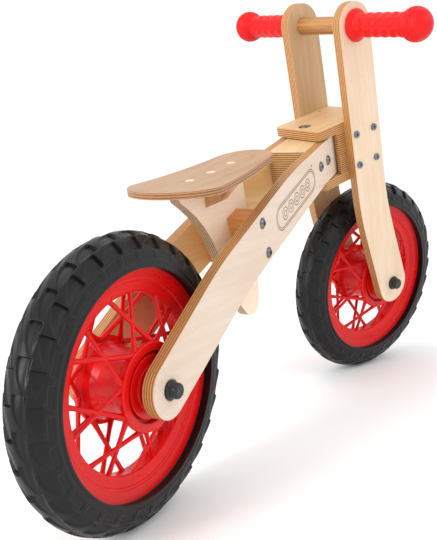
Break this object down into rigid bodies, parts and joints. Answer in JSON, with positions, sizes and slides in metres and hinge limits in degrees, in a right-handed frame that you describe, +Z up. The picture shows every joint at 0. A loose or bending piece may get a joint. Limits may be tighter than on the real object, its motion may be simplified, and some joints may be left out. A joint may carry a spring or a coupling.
{
  "type": "balance bike",
  "caption": "Toddler's balance bike with plywood frame and fork, laminated head block, red spoked moulded wheels, black tyres and red ball-end grips.",
  "frame": {"origin": "on the ground, where the rear tyre touches it, in the frame's middle plane", "axes": "+X forward along the frame, +Y to the rider's left, +Z up"},
  "size_m": [0.8355, 0.3191, 0.5356],
  "materials": {
    "birch_ply": "satin clear lacquer",
    "laminated_birch": "sanded, laminations horizontal",
    "brown_hardwood": "satin",
    "dowel_wood": "satin",
    "plug_wood": "satin",
    "red_grip": "soft satin",
    "red_moulding": "semi-gloss",
    "black_tyre": "dull foam",
    "black_cap": "satin",
    "zinc_steel": "zinc plated",
    "bright_fasteners": "bright",
    "nylon": "matt"
  },
  "bodies": {
    "frame": {"frame_plate_right": "birch_ply", "frame_plate_left": "birch_ply", "head_block": "laminated_birch", "head_bush_upper": "nylon", "head_bush_lower": "nylon", "seat_post_plate": "birch_ply", "spacer_block_right": "brown_hardwood", "spacer_block_left": "brown_hardwood", "seat_gusset_right": "brown_hardwood", "seat_gusset_left": "brown_hardwood", "seat_board": "birch_ply", "seat_screws": "zinc_steel", "seat_plugs": "plug_wood", "frame_bolts": "bright_fasteners", "frame_sleeve_nuts": "bright_fasteners", "rear_axle_bolt": "zinc_steel", "rear_axle_nut": "zinc_steel", "rear_axle_washers": "zinc_steel", "rear_axle_sleeve": "zinc_steel", "rear_thrust_washers": "nylon", "rear_axle_caps": "black_cap"},
    "fork": {"fork_blade_right": "birch_ply", "fork_blade_left": "birch_ply", "fork_block": "laminated_birch", "fork_top_plate": "birch_ply", "fork_bottom_plate": "birch_ply", "fork_screws": "zinc_steel", "fork_plate_pins": "dowel_wood", "kingpin_bolt": "bright_fasteners", "kingpin_washer": "zinc_steel", "kingpin_nut": "zinc_steel", "handlebar": "dowel_wood", "grip_right": "red_grip", "grip_left": "red_grip", "front_axle_bolt": "zinc_steel", "front_axle_nut": "zinc_steel", "front_axle_washers": "zinc_steel", "front_axle_sleeve": "zinc_steel", "front_thrust_washers": "nylon", "front_axle_caps": "black_cap"},
    "rear_wheel_body": {"rear_tyre": "black_tyre", "rear_wheel": "red_moulding", "rear_wheel_bushes": "nylon"},
    "front_wheel_body": {"front_tyre": "black_tyre", "front_wheel": "red_moulding", "front_wheel_bushes": "nylon"}
  },
  "joints": [
    {"name": "steering", "type": "hinge", "parent": "frame", "child": "fork", "pos_m": [0.47529, 0, 0.12245], "axis": [-0.2756, 0, 0.9613], "range_deg": [-2, 42]},
    {"name": "rear_wheel_spin", "type": "hinge", "parent": "frame", "child": "rear_wheel_body", "pos_m": [0, 0, 0.145], "axis": [0, 1, 0], "continuous": true},
    {"name": "front_wheel_spin", "type": "hinge", "parent": "fork", "child": "front_wheel_body", "pos_m": [0.55207, -0.02907, 0.14447], "axis": [0.3288, 0.9397, 0.0943], "continuous": true}
  ]
}
